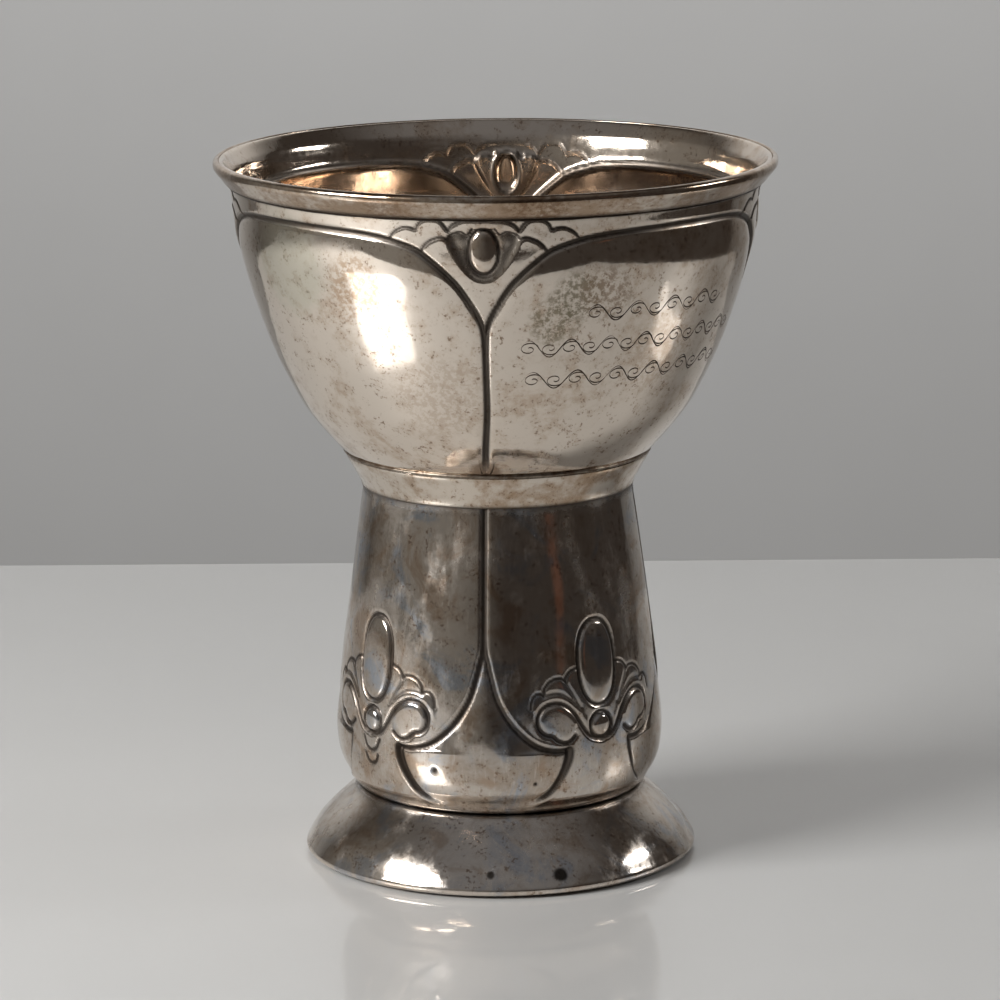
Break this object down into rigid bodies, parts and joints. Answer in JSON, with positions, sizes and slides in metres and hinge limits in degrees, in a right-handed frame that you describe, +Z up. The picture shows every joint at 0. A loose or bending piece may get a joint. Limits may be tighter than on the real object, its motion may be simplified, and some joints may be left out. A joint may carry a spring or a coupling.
{
  "type": "footed metal cup",
  "caption": "Footed silver drinking cup: a deep round bowl with a wired lip, on a hollow waisted column and a low spreading foot.",
  "frame": {"origin": "centre of the flat ring that the cup stands on", "axes": "+Z up along the cup's axis; the picture looks along +Y, with +X to the right"},
  "size_m": [0.1168, 0.1168, 0.148],
  "materials": {
    "silver": "polished silver with light brown tarnish",
    "dark_silver": "polished silver with darker tarnish in the hollows",
    "solder": "dull silver solder"
  },
  "bodies": {
    "root": {"bowl_shell": "silver", "lip_wire": "silver", "collar_ring": "silver", "column_shell": "dark_silver", "foot_shell": "dark_silver", "base_wire": "silver", "lip_solder_seam": "solder", "collar_solder_seam": "solder", "column_top_solder_seam": "solder", "foot_flange_solder_seam": "solder", "base_wire_solder_seam": "solder"}
  },
  "joints": []
}
